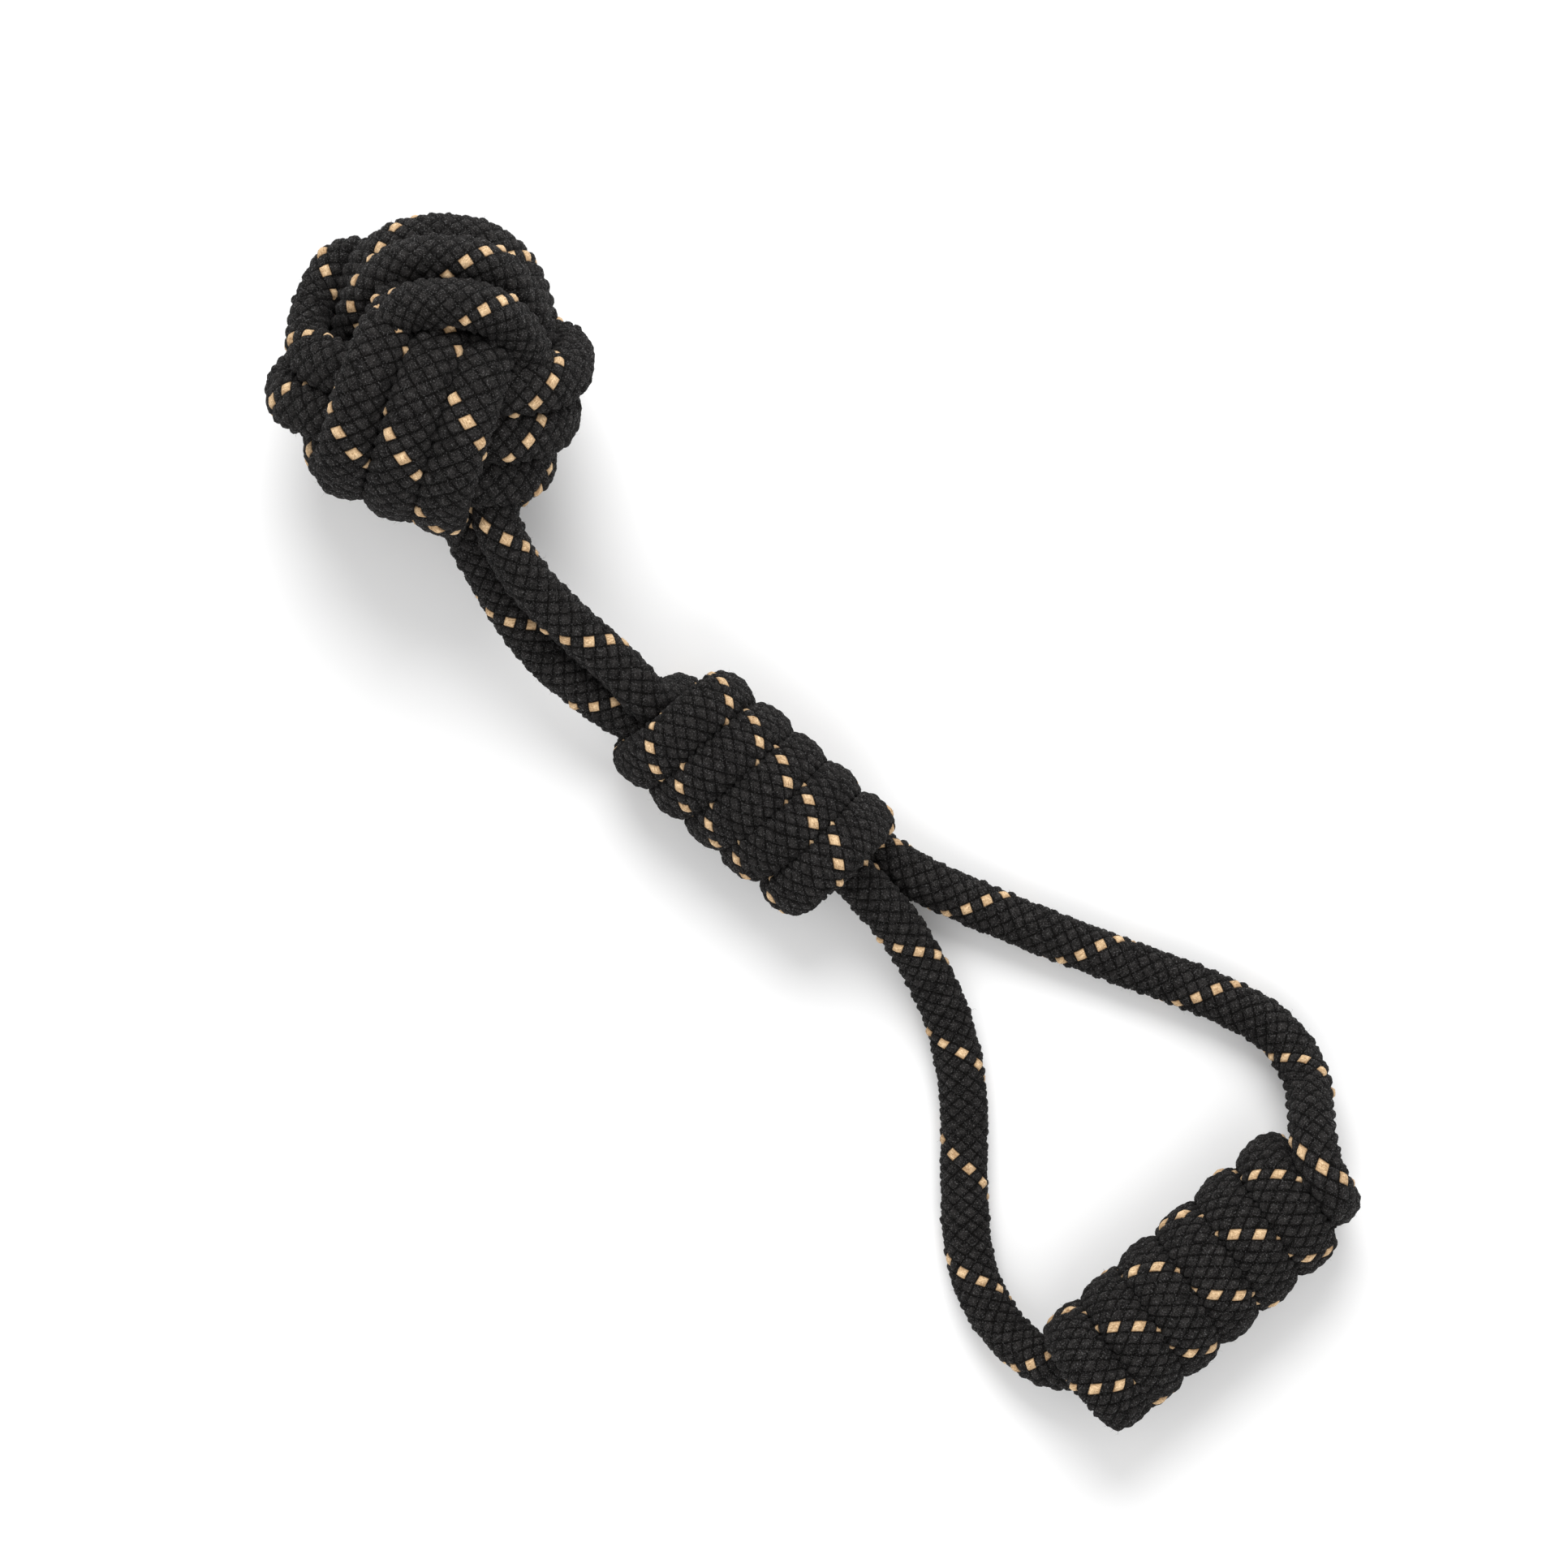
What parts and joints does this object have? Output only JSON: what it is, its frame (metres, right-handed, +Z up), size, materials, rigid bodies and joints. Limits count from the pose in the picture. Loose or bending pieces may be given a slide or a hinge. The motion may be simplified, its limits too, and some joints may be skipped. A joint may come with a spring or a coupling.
{
  "type": "rope tug toy with knotted ball and hand loop",
  "caption": "Braided rope tug toy: a monkey's fist ball on a two-strand neck, a wound barrel knot, and a triangular hand loop that ends in a rope-wound grip.",
  "frame": {"origin": "middle of the bounding box, on the surface that the toy lies on", "axes": "+X from the ball to the grip, +Y to the side of the right leg, +Z up from the surface"},
  "size_m": [0.3813, 0.1185, 0.0907],
  "materials": {
    "rope": "soft 16-plait polyester-cotton braid, near-black and slightly fuzzy, with one tan tracer yarn",
    "fist_core": "matt solid rubber ball, hidden inside the fist",
    "rope_end_seal": "rope end melted and pressed flat, dull black"
  },
  "bodies": {
    "barrel": {"barrel_turn_1": "rope", "barrel_turn_2": "rope", "barrel_turn_3": "rope", "barrel_turn_4": "rope", "barrel_turn_5": "rope", "barrel_core_strand": "rope"},
    "neck": {"neck_wrap_strand": "rope", "neck_core_strand": "rope"},
    "ball": {"fist_upright_turn_1": "rope", "fist_upright_turn_2": "rope", "fist_upright_turn_3": "rope", "fist_crown_turn_1": "rope", "fist_crown_turn_2": "rope", "fist_crown_turn_3": "rope", "fist_belt_turn_1": "rope", "fist_belt_turn_2": "rope", "fist_belt_turn_3": "rope", "fist_core_ball": "fist_core"},
    "fork": {"right_leg_near": "rope", "left_leg_near": "rope"},
    "loop": {"right_leg_far": "rope", "left_leg_far": "rope"},
    "grip": {"grip_turn_1": "rope", "grip_turn_2": "rope", "grip_turn_3": "rope", "grip_turn_4": "rope", "grip_turn_5": "rope", "grip_turn_6": "rope", "grip_core_strand": "rope", "grip_core_end_seal": "rope_end_seal", "grip_wrap_end_seal": "rope_end_seal", "grip_lead_strand": "rope"}
  },
  "joints": [
    {"name": "neck_sway", "type": "hinge", "parent": "barrel", "child": "neck", "pos_m": [-0.04, -0.0185, 0.0208], "axis": [0, 0, 1], "range_deg": [-20, 20]},
    {"name": "ball_nod", "type": "hinge", "parent": "neck", "child": "ball", "pos_m": [-0.0745, -0.025, 0.0345], "axis": [0, 1, 0], "range_deg": [-80, 80], "deforming": ["neck_wrap_strand", "neck_core_strand"]},
    {"name": "loop_sway", "type": "hinge", "parent": "barrel", "child": "fork", "pos_m": [0.028, -0.0015, 0.017], "axis": [0, 0, 1], "range_deg": [-15, 15]},
    {"name": "loop_nod", "type": "hinge", "parent": "fork", "child": "loop", "pos_m": [0.068, 0.005, 0.0095], "axis": [0, -1, 0], "range_deg": [-90, 90], "deforming": ["right_leg_near", "left_leg_near"]},
    {"name": "grip_fold", "type": "hinge", "parent": "loop", "child": "grip", "pos_m": [0.134, 0, 0.0085], "axis": [0, -1, 0], "range_deg": [-80, 80], "deforming": ["right_leg_far", "left_leg_far"]}
  ]
}
